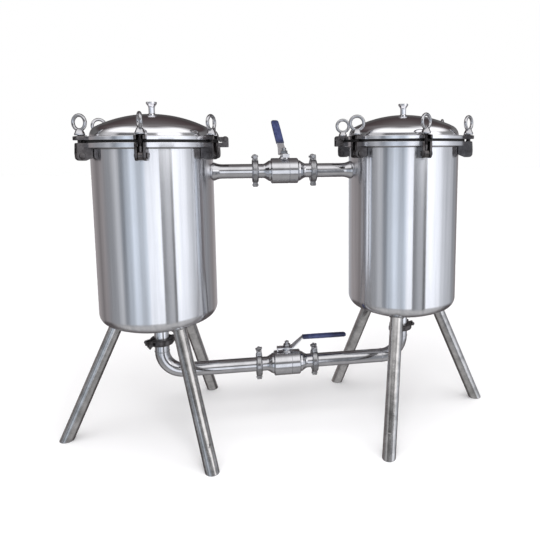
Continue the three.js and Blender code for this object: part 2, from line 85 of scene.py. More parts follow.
SHEET = 2
TANGENT_Z = 351
CROWN_R = 300
KNUCKLE_R = 30
FLANGE_R = 170
BODY_FLANGE_BOTTOM = SEAM_Z - 14.5
LID_FLANGE_BOTTOM = SEAM_Z + 3.3
LID_FLANGE_TOP = SEAM_Z + 12.5
BOLT_AZIMUTHS = (-150, -90, -30, 30, 90, 150)
BOLT_CIRCLE_R = 175
BOLT_R = 6
PIVOT_Z = SEAM_Z - 33
PIVOT_PIN_R = 5
SLOT_HALF = 6.5
LUG_TOP = SEAM_Z + 14.6
LUG_TIP_R = 189
NUT_BASE_Z = LUG_TOP + 0.4
PIPE_R = 19.05
PIPE_BORE_R = 17.4
FERRULE_R = 25.25
FERRULE_RIM = 2.85
BEND_R = 57
VALVE_HALF_LENGTH = (CLAMP_X["right"] - CLAMP_X["left"]) / 2
JOINT_GAP = 0.4
LEG_R = 16.85
LEG_FOOT_RADIUS = 252
LEG_TOP_RADIUS = 108
LEG_TOP_Z = 314
LEG_AZIMUTHS = {"left": (-177.5, -57.5, 62.5), "right": (-114, 6, 126)}
INNER_AZIMUTH = {"left": 0, "right": 180}
RING_TURNS = {"left": (-26, -70, 63, 92, 0, 30), "right": (-13, 36, 37, 60, 15, -12)}
HINGE_PIN_R = 183
HINGE_PIN_Z = SEAM_Z + 6

# ---------------- outlines


def arc(x, y, radius, start, end, steps):
    """Points on an arc from one angle to another, both ends included."""
    angles = (radians(start + (end - start) * i / steps) for i in range(steps + 1))
    return [(x + radius * cos(a), y + radius * sin(a)) for a in angles]


def rounded(points, radius, steps=4):
    """A closed outline with its corners rounded. A point's third value, if it has one, is its own radius."""
    result = []
    for i, point in enumerate(points):
        own = point[2] if len(point) > 2 else radius
        before = Vector(points[i - 1][:2]) - Vector(point[:2])
        after = Vector(points[(i + 1) % len(points)][:2]) - Vector(point[:2])
        corner = Vector(point[:2])
        opening = before.angle(after)
        if own <= 0 or opening > pi - 0.05:
            result.append(tuple(corner))
            continue
        reach = min(own / tan(opening / 2), 0.45 * before.length, 0.45 * after.length)
        middle = (before.normalized() + after.normalized()).normalized()
        centre = corner + middle * (reach / cos(opening / 2))
        first = corner + before.normalized() * reach - centre
        last = corner + after.normalized() * reach - centre
        start = atan2(first.y, first.x)
        sweep = (atan2(last.y, last.x) - start + pi) % (2 * pi) - pi
        for k in range(steps + 1):
            angle = start + sweep * k / steps
            result.append((centre.x + first.length * cos(angle), centre.y + first.length * sin(angle)))
    return result


def grown(outline, amount):
    """A closed outline moved outward by an amount, each corner along the mean of its sides' normals."""
    area = sum(a[0] * b[1] - b[0] * a[1] for a, b in zip(outline, outline[1:] + outline[:1]))
    side = 1 if area > 0 else -1
    result = []
    for i, point in enumerate(outline):
        before = (Vector(point) - Vector(outline[i - 1])).normalized()
        after = (Vector(outline[(i + 1) % len(outline)]) - Vector(point)).normalized()
        normal = Vector((before.y + after.y, -before.x - after.x)).normalized()
        stretch = max(normal.dot(Vector((before.y, -before.x))), 0.5)
        moved = Vector(point) + normal * (side * amount / stretch)
        result.append(tuple(moved))
    return result


def rounded_open(points):
    """An open run of outline points with its inner corners rounded."""
    (first_r, first_z, *_), (last_r, last_z, *_) = points[0], points[-1]
    closed = [(first_r, first_z - 1e-3, 0), *points[1:-1], (last_r, last_z, 0), (0, first_z, 0)]
    return rounded(closed, 0)[:-1]


def rectangle(left, right, low, high):
    return [(left, low), (right, low), (right, high), (left, high)]


def circle(radius, sides):
    return arc(0, 0, radius, 0, 360, sides)[:-1]


CROWN_DROP = sqrt((CROWN_R - KNUCKLE_R) ** 2 - (SHELL_R - KNUCKLE_R) ** 2)
KNUCKLE_END = atan2(CROWN_DROP, SHELL_R - KNUCKLE_R)


def crown_height(radius, inset=0):
    """Height of a dished end's crown above its tangent line."""
    return sqrt((CROWN_R - inset) ** 2 - radius**2) - CROWN_DROP


def dish_height(radius, inset=0):
    """Height of a dished end above its tangent line, on its knuckle or on its crown."""
    knuckle_from = SHELL_R - KNUCKLE_R + (KNUCKLE_R - inset) * cos(KNUCKLE_END)
    if radius < knuckle_from:
        return crown_height(radius, inset)
    return sqrt(max((KNUCKLE_R - inset) ** 2 - (radius - SHELL_R + KNUCKLE_R) ** 2, 0))


def dish(tangent_z, hole_radius, inset, up):
    """A dished end's outline, from its tangent line to the hole on its axis."""
    knuckle = arc(SHELL_R - KNUCKLE_R, 0, KNUCKLE_R - inset, 0, KNUCKLE_END * 180 / pi, 14)
    first = knuckle[-1][0]
    steps = 24
    radii = [first + (hole_radius - first) * (i + 1) / steps for i in range(steps)]
    crown = [(radius, crown_height(radius, inset)) for radius in radii]
    return [(x, tangent_z + up * y) for x, y in knuckle + crown]


def ferrule(face, direction):
    """Half a tri-clamp ferrule's outline, from the tube's surface out to the joint face."""
    return [
        (PIPE_R, face - direction * 9, 3),
        (PIPE_R + 1.2, face - direction * 5.2, 1.5),
        (FERRULE_R, face - direction * FERRULE_RIM, 0.5),
        (FERRULE_R, face, 0.3),
    ]


# ---------------- shapes: (vertices, faces) in millimetres


def turned(outline, sides=96):
    """A closed outline of (radius, height) points turned about Z."""
    verts, rings = [], []
    for radius, height in outline:
        if radius < 1e-6:
            rings.append([len(verts)] * sides)
            verts.append((0, 0, height))
            continue
        rings.append(range(len(verts), len(verts) + sides))
        for i in range(sides):
            angle = 2 * pi * i / sides
            verts.append((radius * cos(angle), radius * sin(angle), height))
    faces = []
    for ring, above in zip(rings, rings[1:] + rings[:1]):
        if ring[0] == ring[1] and above[0] == above[1]:
            continue
        for i in range(sides):
            j = (i + 1) % sides
            corners = dict.fromkeys((ring[i], ring[j], above[j], above[i]))
            faces.append(list(corners))
    return verts, faces


def skinned(rings, closed=False):
    """Rings of points with quads between them. A run that isn't closed has a flat face at either end."""
    count, size = len(rings), len(rings[0])
    faces = []
    for ring in range(count if closed else count - 1):
        here, there = ring * size, (ring + 1) % count * size
        for k in range(size):
            m = (k + 1) % size
            faces.append([here + k, here + m, there + m, there + k])
    if not closed:
        faces += [list(range(size))[::-1], [(count - 1) * size + k for k in range(size)]]
    return [tuple(point) for ring in rings for point in ring], faces


def prism(outline, low, high, edge=0.6):
    """A plate of (x, y) outline between two heights, with its edges broken."""
    inset = grown(outline, -edge)
    layers = [(inset, low), (outline, low + edge), (outline, high - edge), (inset, high)]
    return skinned([[(x, y, z) for x, y in points] for points, z in layers])


def upright(outline, y_low, y_high, edge=0.7):
    """A plate whose outline is in (x, z), between two values of y."""
    return placed(prism(outline, -y_high, -y_low, edge), turn(90, "X"))


def swept(path, section, closed=False, up=(0, 0, 1), widths=None):
    """A section of (across, up) points carried along a path. widths stretches it across, point by point."""
    path = [Vector(p) for p in path]
    count = len(path)
    normal = Vector(up)
    rings = []
    for i, point in enumerate(path):
        before = path[i - 1] if closed or i > 0 else point
        after = path[(i + 1) % count] if closed or i < count - 1 else point
        along = (after - before).normalized()
        normal = (normal - along * normal.dot(along)).normalized()
        across = along.cross(normal)
        scale = widths[i] if widths else 1
        rings.append([point + across * (x * scale) + normal * y for x, y in section])
    return skinned(rings, closed)


def bead(radius, height, wire, sides=64, wire_sides=10):
    """A round bead laid round Z."""
    path = [(x, y, height) for x, y in circle(radius, sides)]
    return swept(path, circle(wire, wire_sides), closed=True)


def bar(radius, low, high, edge=0.6, sides=48):
    """A round bar about Z with broken edges."""
    bottom = arc(radius - edge, low + edge, edge, -90, 0, 3)
    top = arc(radius - edge, high - edge, edge, 0, 90, 3)
    return turned([(0, low), *bottom, *top, (0, high)], sides)


def hexagon(across_flats, low, high, edge=0.8):
    """A hexagon nut's body about Z."""
    outline = rounded(circle(across_flats / sqrt(3), 6), 0.6, 2)
    return prism(outline, low, high, edge)


def product(moves):
    """Moves joined into one, the first listed applied last, as matrices multiply."""
    matrix = Matrix.Identity(4)
    for move in moves:
        matrix = matrix @ move
    return matrix


def placed(shape, *moves):
    """A shape after its moves."""
    matrix = product(moves)
    verts, faces = shape
    return [tuple(matrix @ Vector(v)) for v in verts], faces


def at_bolts(*shapes):
    """Shapes repeated at each bolt round the vessel."""
    return [placed(shape, turn(azimuth)) for azimuth in BOLT_AZIMUTHS for shape in shapes]


def along_x(shape):
    """Turns a shape from about Z to along +X."""
    return placed(shape, turn(90, "Y"))


def shift(x=0, y=0, z=0):
    return Matrix.Translation((x, y, z))


def turn(degrees, axis="Z"):
    return Matrix.Rotation(radians(degrees), 4, axis)


# ---------------- meshes and pieces


def make_mesh(name, *shapes, sharp=50):
    """One Blender mesh, in metres, of several shapes."""
    verts, faces = [], []
    for shape_verts, shape_faces in shapes:
        base = len(verts)
        verts += [(x * MM, y * MM, z * MM) for x, y, z in shape_verts]
        faces += [[base + i for i in face] for face in shape_faces]
    mesh = bpy.data.meshes.new(name)
    mesh.from_pydata(verts, [], faces)
    facing_out(mesh)
    smooth(mesh, sharp)
    return mesh


def facing_out(mesh):
    work = bmesh.new()
    work.from_mesh(mesh)
    bmesh.ops.recalc_face_normals(work, faces=work.faces)
    work.to_mesh(mesh)
    work.free()


def smooth(mesh, sharp):
    mesh.shade_smooth()
    mesh.set_sharp_from_angle(angle=radians(sharp))


def show(name, data):
    """Puts a mesh, a camera or a light into the scene."""
    shown = bpy.data.objects.new(name, data)
    bpy.context.scene.collection.objects.link(shown)
    return shown


def combined(name, first, *others, sharp=50, operation="UNION"):
    """One closed mesh: the first mesh joined with the others, or cut by them."""
    objects = [show("tool", mesh) for mesh in (first, *others)]
    for tool in objects[1:]:
        step = objects[0].modifiers.new("step", "BOOLEAN")
        step.operation = operation
        step.solver = "EXACT"
        step.object = tool
    bpy.context.view_layer.update()
    evaluated = objects[0].evaluated_get(bpy.context.evaluated_depsgraph_get())
    mesh = bpy.data.meshes.new_from_object(evaluated)
    mesh.name = name
    for tool in objects:
        bpy.data.objects.remove(tool)
    facing_out(mesh)
    smooth(mesh, sharp)
    return mesh


def cut(name, first, *others):
    """A mesh with shapes cut out of it."""
    return combined(name, first, make_mesh("cuts", *others), operation="DIFFERENCE")


def turned_copy(mesh, degrees):
    """A copy of a mesh turned about Z, so that the object that shows it stays square to the frame."""
    copy = mesh.copy()
    copy.transform(turn(degrees))
    return copy


def stand(shown, *moves):
    """Places an object by moves in millimetres."""
    matrix = product(moves)
    matrix.translation = matrix.translation * MM
    shown.matrix_world = matrix


def piece(name, mesh, finish, body, *moves, stands_for=()):
    """Shows a mesh as a piece that rides on a CAD body. Its moves are in millimetres."""
    shown = show(name, mesh)
    stand(shown, *moves)
    material, slot = FINISHES[finish]
    if not mesh.materials:
        mesh.materials.append(material)
    normals = shown.modifiers.new("normals", "WEIGHTED_NORMAL")
    normals.keep_sharp = True
    normals.weight = 90
    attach(shown, body)
    if stands_for:
        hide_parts(*stands_for)
    return shown


# ---------------- materials


class Tree:
    """A short way to write a node tree."""

    def __init__(self, owner):
        owner.use_nodes = True
        self.tree = owner.node_tree

    def put(self, socket, value):
        """Gives an input another node's output or a plain value."""
        if isinstance(value, bpy.types.NodeSocket):
            self.tree.links.new(value, socket)
        else:
            socket.default_value = value

    def fill(self, node, **values):
        """Gives a node its inputs by name, with _ for a space."""
        for name, value in values.items():
            self.put(node.inputs[name.replace("_", " ")], value)
        return node

    def node(self, kind, **values):
        return self.fill(self.tree.nodes.new(f"ShaderNode{kind}"), **values)

    def split(self, vector):
        """A vector's X, Y and Z."""
        node = self.node("SeparateXYZ", Vector=vector)
        return [node.outputs[axis] for axis in "XYZ"]

    def ranged(self, value, low, high, to_low=0, to_high=1):
        """A value stretched so that one range becomes another."""
        limits = {"From_Min": low, "From_Max": high, "To_Min": to_low, "To_Max": to_high}
        return self.node("MapRange", Value=value, **limits).outputs["Result"]

    def ramp(self, value, stops):
        """A value turned into colour by stops of (place, (r, g, b))."""
        node = self.node("ValToRGB", Fac=value)
        elements = node.color_ramp.elements
        while len(elements) < len(stops):
            elements.new(0.5)
        for element, (place, colour) in zip(elements, stops):
            element.position = place
            element.color = (*colour, 1)
        return node.outputs["Color"]

    def mixed(self, factor, first, second, blend="MIX"):
        node = self.node("Mix")
        node.data_type = "RGBA"
        node.blend_type = blend
        return self.fill(node, Factor=factor, A=first, B=second).outputs["Result"]


class Finish(Tree):
    """A material round the usual shader."""

    def __init__(self, name):
        self.material = bpy.data.materials.new(name)
        super().__init__(self.material)
        self.shader = self.tree.nodes["Principled BSDF"]
        self.place = self.node("TexCoord").outputs["Object"]

    def set(self, **values):
        self.fill(self.shader, **values)

    def scaled(self, x, y, z):
        """Object coordinates stretched along each axis."""
        return self.node("Mapping", Scale=(x, y, z), Vector=self.place).outputs["Vector"]

    def noise(self, scale, detail=3, roughness=0.5, vector=None):
        values = {"Scale": scale, "Detail": detail, "Roughness": roughness}
        return self.node("TexNoise", Vector=vector or self.place, **values).outputs["Fac"]

    def between(self, noise, low, high):
        """The middle half of a noise's range stretched to run from low to high."""
        return self.ranged(noise, 0.25, 0.75, low, high)

    def bump(self, *layers):
        """Stacks bumps of (height, strength, distance in metres)."""
        last = {}
        for height, strength, distance in layers:
            node = self.node("Bump", Strength=strength, Distance=distance, Height=height, **last)
            last = {"Normal": node.outputs["Normal"]}
        self.set(**last)


def steel(name, dark, light, smooth, rough, patch_scale, *bumps):
    """Stainless steel with patches that run from a darker and smoother to a lighter and rougher finish."""
    n = Finish(name)
    patches = n.noise(patch_scale, 4, 0.6)
    colour = n.ramp(patches, ((0.3, dark), (0.7, light)))
    n.set(Metallic=1, Base_Color=colour, Roughness=n.between(patches, smooth, rough))
    layers = [(n.noise(*noise), strength, distance) for noise, strength, distance in bumps]
    n.bump((patches, 0.12, 0.0015), *layers)
    return n.material


def mirror_steel():
    """Polished sheet with lengthwise drawing lines, which smear reflections along the shell only."""
    n = Finish("mirror_steel")
    lines = n.noise(55, 3, 0.6, n.scaled(1, 1, 0.03))
    colour = n.ramp(lines, ((0.3, (0.74, 0.75, 0.775)), (0.7, (0.93, 0.93, 0.95))))
    n.set(Metallic=1, Anisotropic=1, Anisotropic_Rotation=0.25, Base_Color=colour)
    haze = n.noise(9, 4, 0.6)
    tangent = n.node("Tangent")
    tangent.direction_type = "RADIAL"
    tangent.axis = "Z"
    n.set(Roughness=n.between(haze, 0.15, 0.19), Tangent=tangent.outputs["Tangent"])
    ripple = n.noise(5, 1, 0.4, n.scaled(1, 1, 0.3))
    n.bump((ripple, 0.08, 0.004), (lines, 0.05, 0.0006))
    return n.material


def vinyl():
    """Dipped vinyl sleeve: blue, softly shining, worn lighter where hands hold it."""
    n = Finish("blue_vinyl")
    scuffs = n.noise(90, 5, 0.65)
    colour = n.ramp(scuffs, ((0.35, (0.018, 0.024, 0.075)), (0.7, (0.048, 0.064, 0.165))))
    clean, worn = (0.4, 0.4, 0.45), (1, 1, 1)
    along = n.split(n.place)[0]
    wear = n.ramp(along, ((0.05, clean), (0.062, worn), (0.115, worn), (0.132, clean)))
    n.set(Base_Color=n.mixed(1, colour, wear, "MULTIPLY"), Roughness=n.between(scuffs, 0.3, 0.5))
    n.bump((scuffs, 0.15, 0.001), (n.noise(900, 2, 0.5), 0.15, 0.0002))
    return n.material


def silicone():
    """The lid gasket: matte dark silicone."""
    n = Finish("dark_silicone")
    dust = n.noise(120, 4, 0.6)
    colour = n.ramp(dust, ((0.35, (0.006, 0.006, 0.007)), (0.75, (0.018, 0.017, 0.017))))
    n.set(Base_Color=colour, Roughness=n.between(dust, 0.6, 0.8))
    n.bump((dust, 0.2, 0.0004))
    return n.material


def felt():
    """Pleated filter media: white spun fibre."""
    n = Finish("filter_felt")
    fibre = n.noise(800, 5, 0.7)
    n.set(Base_Color=n.ramp(fibre, ((0.3, (0.72, 0.71, 0.67)), (0.7, (0.86, 0.85, 0.81)))), Roughness=0.9)
    n.bump((fibre, 0.4, 0.0005))
    return n.material


def grey(value):
    """A stainless grey, a touch cool."""
    return (value, value, value * 1.03)


# Bumps of (noise, strength, distance in metres).
FINE_GRAIN = ((500, 3, 0.6), 0.12, 0.0002)
PITS = ((420, 4, 0.7), 0.22, 0.0003)
CAST_DARK, CAST_LIGHT = (0.07, 0.062, 0.062), (0.20, 0.19, 0.19)
LEG_DARK, LEG_LIGHT = (0.38, 0.375, 0.37), (0.68, 0.67, 0.665)
WELD_DARK, WELD_LIGHT = (0.30, 0.29, 0.29), (0.46, 0.45, 0.44)
POLISHED, SATIN, CAST = "polished_steel", "satin_steel", "cast_steel"
# Each finish's material and its material slot.
FINISHES = {
    "mirror": (mirror_steel(), POLISHED),
    "dome": (steel("dome_steel", grey(0.80), grey(0.90), 0.08, 0.16, 9), POLISHED),
    "satin": (steel("satin_steel", grey(0.74), grey(0.88), 0.14, 0.22, 14, FINE_GRAIN), SATIN),
    "lever": (steel("lever_steel", grey(0.82), grey(0.94), 0.32, 0.44, 14, FINE_GRAIN), SATIN),
    "leg": (steel("leg_steel", LEG_DARK, LEG_LIGHT, 0.12, 0.22, 32, FINE_GRAIN), SATIN),
    "tube": (steel("tube_steel", grey(0.52), grey(0.66), 0.08, 0.16, 24), SATIN),
    "ring": (steel("ring_steel", grey(0.42), grey(0.58), 0.08, 0.15, 45), CAST),
    # Besides the cast parts, this finish is put on the nozzle clamps, where its darkness is painted shade.
    "cast": (steel("cast_steel", CAST_DARK, CAST_LIGHT, 0.24, 0.40, 60, PITS), CAST),
    "clamp": (steel("clamp_steel", grey(0.30), grey(0.50), 0.18, 0.32, 60, PITS), CAST),
    "weld": (steel("weld_steel", WELD_DARK, WELD_LIGHT, 0.28, 0.45, 160), CAST),
    "vinyl": (vinyl(), "blue_vinyl"),
    "silicone": (silicone(), "silicone_seal"),
    "felt": (felt(), "filter_media"),
}

# ---------------- vessel pieces, round the vessel's axis


def shell_mesh():
    outline = [
        (SHELL_R, BODY_FLANGE_TOP),
        (SHELL_R - SHEET, BODY_FLANGE_TOP),
        *dish(TANGENT_Z, PIPE_BORE_R, SHEET, -1),
        (PIPE_BORE_R, NOZZLE_FACE_Z),
        (FERRULE_R, NOZZLE_FACE_Z),
        (FERRULE_R, NOZZLE_FACE_Z + FERRULE_RIM),
        (PIPE_R + 1.2, NOZZLE_FACE_Z + 5.2),
        (PIPE_R, NOZZLE_FACE_Z + 9),
        *dish(TANGENT_Z, PIPE_R, 0, -1)[::-1],
    ]
    return make_mesh("shell", turned(outline, 192), sharp=30)


def nozzle_weld_mesh():
    height = TANGENT_Z - crown_height(PIPE_R + 1.5)
    return make_mesh("nozzle_weld", bead(PIPE_R + 1.2, height - 0.5, 2.2))


def flange_weld_mesh():
    """The weld bead between the shell and the underside of its flange. Its darker weld finish also gives the
    dark line under the flange, where the flange's shaded underside shows in the polished shell: partly a real
    weld, partly a painted reflection.
    """
    return make_mesh("flange_weld_and_dark_reflection", bead(SHELL_R + 0.9, BODY_FLANGE_BOTTOM - 1.2, 2.3, 192))


def flange_ring_mesh():
    """The body flange, notched at each bolt."""
    outline = rounded(rectangle(SHELL_R + 0.4, FLANGE_R, BODY_FLANGE_BOTTOM, BODY_FLANGE_TOP), 0.9)
    notch = turned(rectangle(0, SLOT_HALF + 0.2, -1, 40), 40)
    cuts = at_bolts(placed(notch, shift(BOLT_CIRCLE_R, 0, BODY_FLANGE_BOTTOM - 10)))
    return cut("flange_ring", make_mesh("ring", turned(outline, 192)), *cuts)


def brackets_mesh():
    """Two plates on either side of each bolt, down from the flange to the pivot pin."""
    inner, plate = SHELL_R + 0.7, 6
    outline = rounded(
        [
            (inner, BODY_FLANGE_BOTTOM + 1, 0),
            (inner, PIVOT_Z - 5, 3),
            (BOLT_CIRCLE_R - 8, PIVOT_Z - 11.5, 4),
            (BOLT_CIRCLE_R + 10.5, PIVOT_Z - 11.5, 9),
            (BOLT_CIRCLE_R + 11.5, PIVOT_Z + 6, 3),
            (LUG_TIP_R - 4, BODY_FLANGE_TOP, 3),
            (FLANGE_R - 2, BODY_FLANGE_TOP, 0),
            (FLANGE_R - 2, BODY_FLANGE_BOTTOM + 1, 0),
        ],
        1,
        5,
    )
    plates = [upright(outline, low, low + plate) for low in (-SLOT_HALF - plate, SLOT_HALF)]
    return make_mesh("brackets", *at_bolts(*plates))


def pivot_pins_mesh():
    """A headed clevis pin through each bracket, with a washer."""
    parts = [bar(7, 12.6, 15.4, 1), bar(PIVOT_PIN_R, -14.6, 13, 0.8), bar(6.8, -13.6, -12.6, 0.3)]
    pin = [placed(part, shift(BOLT_CIRCLE_R, 0, PIVOT_Z), turn(-90, "X")) for part in parts]
    return make_mesh("pivot_pins", *at_bolts(*pin))


def hinge_fixed_mesh():
    """The two ears on the body flange that hold the hinge pin."""
    outline = rounded(
        [
            (FLANGE_R - 4, BODY_FLANGE_BOTTOM, 0),
            (HINGE_PIN_R + 8, BODY_FLANGE_BOTTOM, 2),
            (HINGE_PIN_R + 8, HINGE_PIN_Z + 8, 7.5),
            (HINGE_PIN_R - 8, HINGE_PIN_Z + 8, 7.5),
            (HINGE_PIN_R - 8, BODY_FLANGE_TOP + 0.6, 1),
            (FLANGE_R - 4, BODY_FLANGE_TOP, 0),
        ],
        1,
        6,
    )
    ears = [upright(outline, low, low + 6.5) for low in (-15, 8.5)]
    return make_mesh("hinge_fixed", *ears)


def hinge_pin_mesh():
    pin = [bar(4, -17, 17, 0.8), bar(6, 15.2, 18.2, 1)]
    return make_mesh("hinge_pin", *[placed(part, turn(90, "X")) for part in pin])


def lid_mesh():
    neck, bore, rim = 7.8, 5.8, 13.4
    flare = [(neck + (rim - neck) * (k / 7) ** 2, LID_TOP_Z - 16 + 11 * k / 7) for k in range(8)]
    outside = rounded(
        [
            (SHELL_R - SHEET, LID_FLANGE_BOTTOM, 0),
            (FLANGE_R, LID_FLANGE_BOTTOM, 0.9),
            (FLANGE_R, LID_FLANGE_TOP, 1.6),
            (SHELL_R + 3, LID_FLANGE_TOP, 0),
        ],
        0,
    )
    dome = dish(LID_FLANGE_TOP, neck + 2, 0, 1)
    vent = [
        (neck, dome[-1][1] + 2.2),
        *flare,
        *arc(rim - 0.8, LID_TOP_Z - 0.8, 0.8, 0, 90, 3),
        *arc(bore + 0.8, LID_TOP_Z - 0.8, 0.8, 90, 180, 3),
    ]
    inside = dish(LID_FLANGE_TOP, bore, SHEET, 1)[::-1]
    return make_mesh("lid", turned([*outside, *dome, *vent, *inside], 192), sharp=30)


def lugs_mesh():
    """The lid's forked lugs. Their tops fall away outward, so that a nut swings clear."""
    half, slot, root = 13, SLOT_HALF + 0.3, FLANGE_R - 8
    outline = [
        (root, -half),
        *arc(LUG_TIP_R - 4, -half + 4, 4, -90, 0, 4),
        *arc(LUG_TIP_R - 1.5, -slot - 1.5, 1.5, 0, 90, 2),
        *arc(BOLT_CIRCLE_R, 0, slot, -90, -270, 10),
        *arc(LUG_TIP_R - 1.5, slot + 1.5, 1.5, -90, 0, 2),
        *arc(LUG_TIP_R - 4, half - 4, 4, 0, 90, 4),
        (root, half),
    ]
    verts, faces = prism(outline, LID_FLANGE_BOTTOM, LUG_TOP, 0.9)
    fall = 2.4 / (LUG_TIP_R - BOLT_CIRCLE_R)
    shaped = []
    for x, y, z in verts:
        share = (z - LID_FLANGE_BOTTOM) / (LUG_TOP - LID_FLANGE_BOTTOM)
        shaped.append((x, y, z - max(x - BOLT_CIRCLE_R - 1, 0) * fall * share))
    return make_mesh("lugs", *at_bolts((shaped, faces)))


def hinge_leaf_mesh():
    """The lid's leaf, between the two ears."""
    outline = rounded(
        [
            (FLANGE_R - 3, HINGE_LEAF_BOTTOM, 0),
            (HINGE_PIN_R + 6.5, HINGE_LEAF_BOTTOM, 5),
            (HINGE_PIN_R + 6.5, HINGE_PIN_Z + 6.5, 6),
            (FLANGE_R - 3, HINGE_PIN_Z + 6.5, 1),
        ],
        1,
        6,
    )
    return make_mesh("hinge_leaf", upright(outline, -8, 8))


def gasket_mesh():
    """The lid gasket, set back a little between the two flanges."""
    outline = rounded(rectangle(152, 165.5, BODY_FLANGE_TOP, LID_FLANGE_BOTTOM - 0.1), 1.2)
    return make_mesh("gasket", turned(outline, 160))


def seat_mesh():
    """The seat and spigot that a cartridge stands on."""
    low, high = box_mm("left_outlet_seat")
    edge = (high.x - low.x) / 2
    base = [(18, low.z), (edge, low.z + 5), (edge, low.z + 14), (26, low.z + 14, 2)]
    outline = rounded([*base, (26, high.z, 2), (18, high.z)], 0.8)
    return make_mesh("outlet_seat", turned(outline, 64))


def pleats_mesh():
    """The pleated media of a cartridge: a closed wall that zigzags between its core and its outside."""
    low, high = box_mm("left_cartridge")
    pleats, inner, outer, thickness = 72, 62, 83, 2.5
    bottom, top = low.z + 11, high.z - 11
    zigzag = [(outer if i % 2 else inner, pi * i / pleats) for i in range(2 * pleats)]
    corners = [(0, bottom), (0, top), (thickness, top), (thickness, bottom)]
    rings = [[((r - inset) * cos(a), (r - inset) * sin(a), z) for r, a in zigzag] for inset, z in corners]
    return make_mesh("pleats", skinned(rings, closed=True), sharp=20)


def cartridge_caps_mesh():
    """The cartridge's end caps and its core tube."""
    low, high = box_mm("left_cartridge")
    thickness = 12
    outlines = [rounded(rectangle(27.5, 89, z, z + thickness), 2.5) for z in (low.z, high.z - thickness)]
    core = turned(rounded(rectangle(28, 31, low.z + 6, high.z - 6), 0.3), 64)
    return make_mesh("cartridge_caps", *(turned(outline, 96) for outline in outlines), core)


# ---------------- legs, in the XZ plane


LEG_LEAN = atan2(LEG_FOOT_RADIUS - LEG_TOP_RADIUS, LEG_TOP_Z)


def leg_point(angle, radius, along):
    """A point on the leg's surface: an angle round it, a radius, and a distance up from its foot."""
    across = radius * cos(angle)
    x = LEG_FOOT_RADIUS + across * cos(LEG_LEAN) - along * sin(LEG_LEAN)
    z = across * sin(LEG_LEAN) + along * cos(LEG_LEAN)
    return Vector((x, radius * sin(angle), z))


def reach_of(test):
    """The distance up the leg at which a test turns true, to a hundredth of a millimetre."""
    low, high = -60.0, 420.0
    while high - low > 0.01:
        middle = (low + high) / 2
        low, high = (low, middle) if test(middle) else (middle, high)
    return (low + high) / 2


def under_dish(point):
    radius = hypot(point.x, point.y)
    return radius < SHELL_R and point.z > TANGENT_Z - dish_height(radius)


def leg_mesh():
    """A tube cut level at its foot and fitted to the dished bottom at its top, with a drain hole."""
    sides, edge = 56, 1.2
    hole_r, hole_z = 4.5, 55
    rings = [[] for _ in range(5)]
    for i in range(sides):
        angle = 2 * pi * i / sides
        foot = reach_of(lambda d: leg_point(angle, LEG_R, d).z > 0)
        foot_inner = reach_of(lambda d: leg_point(angle, LEG_R - edge, d).z > 0)
        top = reach_of(lambda d: under_dish(leg_point(angle, LEG_R, d)))
        rings[0].append(leg_point(angle, LEG_R - edge, foot_inner))
        rings[1].append(leg_point(angle, LEG_R - 0.3, foot + 0.35))
        rings[2].append(leg_point(angle, LEG_R, foot + edge))
        rings[3].append(leg_point(angle, LEG_R, top - 0.1))
        rings[4].append(leg_point(angle, LEG_R - 2, top - 0.1))
    lean = turn(90 - LEG_LEAN * 180 / pi, "Y")
    hole = shift(LEG_FOOT_RADIUS - hole_z * tan(LEG_LEAN), 0, hole_z)
    drill = placed(bar(hole_r, 0, 12, 0.2), hole, lean, shift(0, 0, LEG_R - 6))
    return cut("leg", make_mesh("leg", skinned(rings)), drill)


def leg_weld_mesh():
    sides = 72
    path = []
    for i in range(sides):
        angle = 2 * pi * i / sides
        top = reach_of(lambda d: under_dish(leg_point(angle, LEG_R + 0.8, d)))
        path.append(leg_point(angle, LEG_R + 0.8, top - 0.6))
    return make_mesh("leg_weld", swept(path, circle(2.1, 10), closed=True, up=(0.3, 0.1, 1)))


# ---------------- swing bolts and ring nuts


def thread_outline(radius, depth, low, high, pitch):
    """The side of a threaded bar, as rings one pitch apart."""
    points = []
    turns = int((high - low) / pitch)
    for k in range(turns):
        base = low + k * pitch
        points += [(radius - depth, base), (radius, base + 0.42 * pitch), (radius, base + 0.58 * pitch)]
    return points + [(radius - depth, low + turns * pitch)]


def swing_bolt_mesh():
    """An eye bolt with its eye at the origin: a ring on the pivot pin, a short neck and a threaded shank."""
    eye_r, half, bore = 10.5, 6, PIVOT_PIN_R + 0.6
    eye = placed(turned(rounded(rectangle(bore, eye_r, -half, half), 1.6), 56), turn(90, "X"))
    top = NUT_BASE_Z - PIVOT_Z + 9.5
    neck = [(0, 8), (BOLT_R - 0.1, 8), (BOLT_R - 0.1, 20)]
    thread = thread_outline(BOLT_R, 0.75, 21, top - 1.2, 1.75)
    shank = turned([*neck, *thread, (BOLT_R - 1.2, top), (0, top)], 40)
    return combined("swing_bolt", make_mesh("eye", eye), make_mesh("shank", shank), sharp=40)


def ring_nut_mesh():
    """A ring nut on its base: a conical hub with a blind bore and a round finger ring."""
    ring_r, wire, centre_z = 17.1, 4.15, 29.5
    bore = BOLT_R + 0.3
    outside = [(bore, 0, 0.5), (12, 0, 0.9), (12, 3.4, 1.5), (8.6, 11, 3), (5.6, 15.4, 2), (0, 15.4, 0)]
    hub = rounded([*outside, (0, 11.5, 0), (bore, 11.5, 0)], 0, 5)
    path = [(x, 0, centre_z + y) for x, y in circle(ring_r, 72)]
    loop = swept(path, circle(wire, 28), closed=True, up=(0, 1, 0))
    return combined("ring_nut", make_mesh("hub", turned(hub, 64)), make_mesh("loop", loop), sharp=40)


# ---------------- pipework


